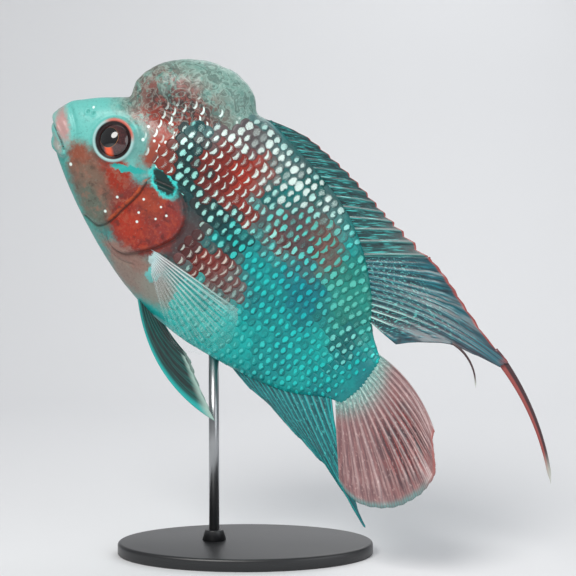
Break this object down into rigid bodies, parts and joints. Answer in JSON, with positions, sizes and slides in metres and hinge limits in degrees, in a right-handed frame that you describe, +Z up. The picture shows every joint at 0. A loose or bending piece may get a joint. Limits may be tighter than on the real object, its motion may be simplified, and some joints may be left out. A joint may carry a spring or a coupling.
{
  "type": "flowerhorn cichlid model",
  "caption": "Life-size display model of a flowerhorn cichlid with a high forehead hump and trailing fins, swimming head-up with its tail curved aside, on a rod over an oval base.",
  "frame": {"origin": "centre of the stand base's flat underside", "axes": "+Z up; the fish's head points to -X and up, its left side faces -Y, its back is up; +Y is the thinnest direction of the whole"},
  "size_m": [0.2314, 0.0975, 0.2371],
  "materials": {
    "head_skin": "wet skin, satin",
    "hump_skin": "wet skin, satin",
    "body_skin": "iridescent scales",
    "gill_red": "wet skin, satin",
    "eye": "glossy",
    "pale_fin": "ribbed membrane",
    "teal_fin": "ribbed membrane",
    "tail_fin": "ribbed membrane",
    "stand_black": "satin black",
    "stand_steel": "brushed"
  },
  "bodies": {
    "root": {"head": "head_skin", "nuchal_hump": "hump_skin", "torso": "body_skin", "tail_root": "body_skin", "gill_cover_left": "gill_red", "gill_cover_right": "gill_red", "eye_left": "eye", "eye_right": "eye", "pectoral_fin_left": "pale_fin", "pectoral_fin_right": "pale_fin", "pelvic_fin_left": "teal_fin", "pelvic_fin_right": "teal_fin", "dorsal_fin_spiny": "teal_fin", "dorsal_fin_soft": "teal_fin", "dorsal_streamer": "teal_fin", "anal_fin": "teal_fin", "caudal_fin": "tail_fin", "stand_base": "stand_black", "stand_rod": "stand_steel"}
  },
  "joints": []
}
